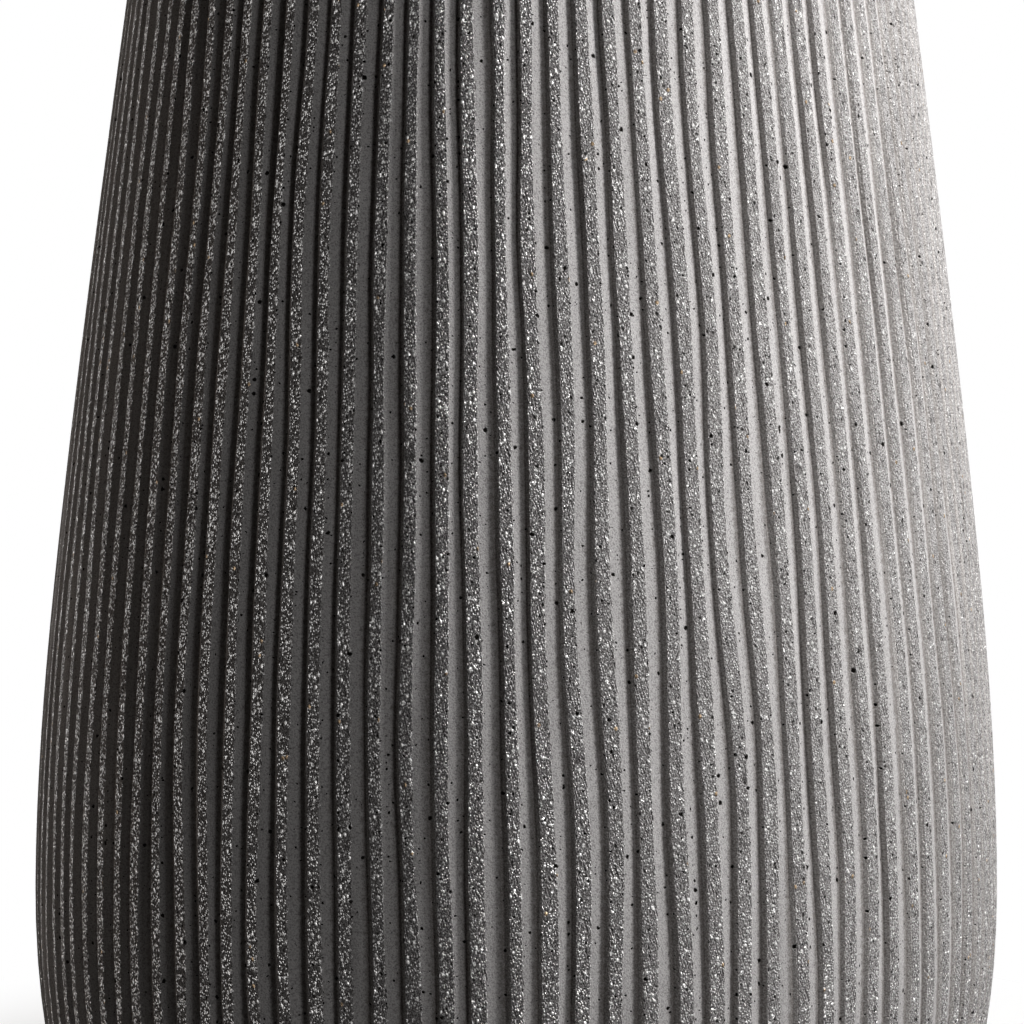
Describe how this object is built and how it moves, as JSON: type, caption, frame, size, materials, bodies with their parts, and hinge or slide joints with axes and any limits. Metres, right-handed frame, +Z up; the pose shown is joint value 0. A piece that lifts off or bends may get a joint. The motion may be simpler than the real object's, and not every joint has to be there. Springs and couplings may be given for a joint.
{
  "type": "fluted concrete vase",
  "caption": "Tapering floor vase cast in grey concrete with fine upright flutes, a lift-out water liner in its mouth and rubber feet.",
  "frame": {"origin": "on the floor, under the vase's axis, level with the undersides of the rubber feet", "axes": "+Z up along the vase's axis, -Y towards the viewer, +X to the viewer's right"},
  "size_m": [0.24, 0.24, 0.48],
  "materials": {
    "concrete": "cast cement skin in the grooves, ground speckled aggregate on the ridges",
    "liner_plastic": "fine moulded texture",
    "foot_rubber": "matte"
  },
  "bodies": {
    "vessel": {"fluted_body": "concrete", "rubber_foot_1": "foot_rubber", "rubber_foot_2": "foot_rubber", "rubber_foot_3": "foot_rubber", "rubber_foot_4": "foot_rubber"},
    "liner": {"water_liner": "liner_plastic"}
  },
  "joints": [
    {"name": "liner_lift", "type": "slide", "parent": "vessel", "child": "liner", "axis": [0, 0, 1], "range_m": [0, 0.285]}
  ]
}
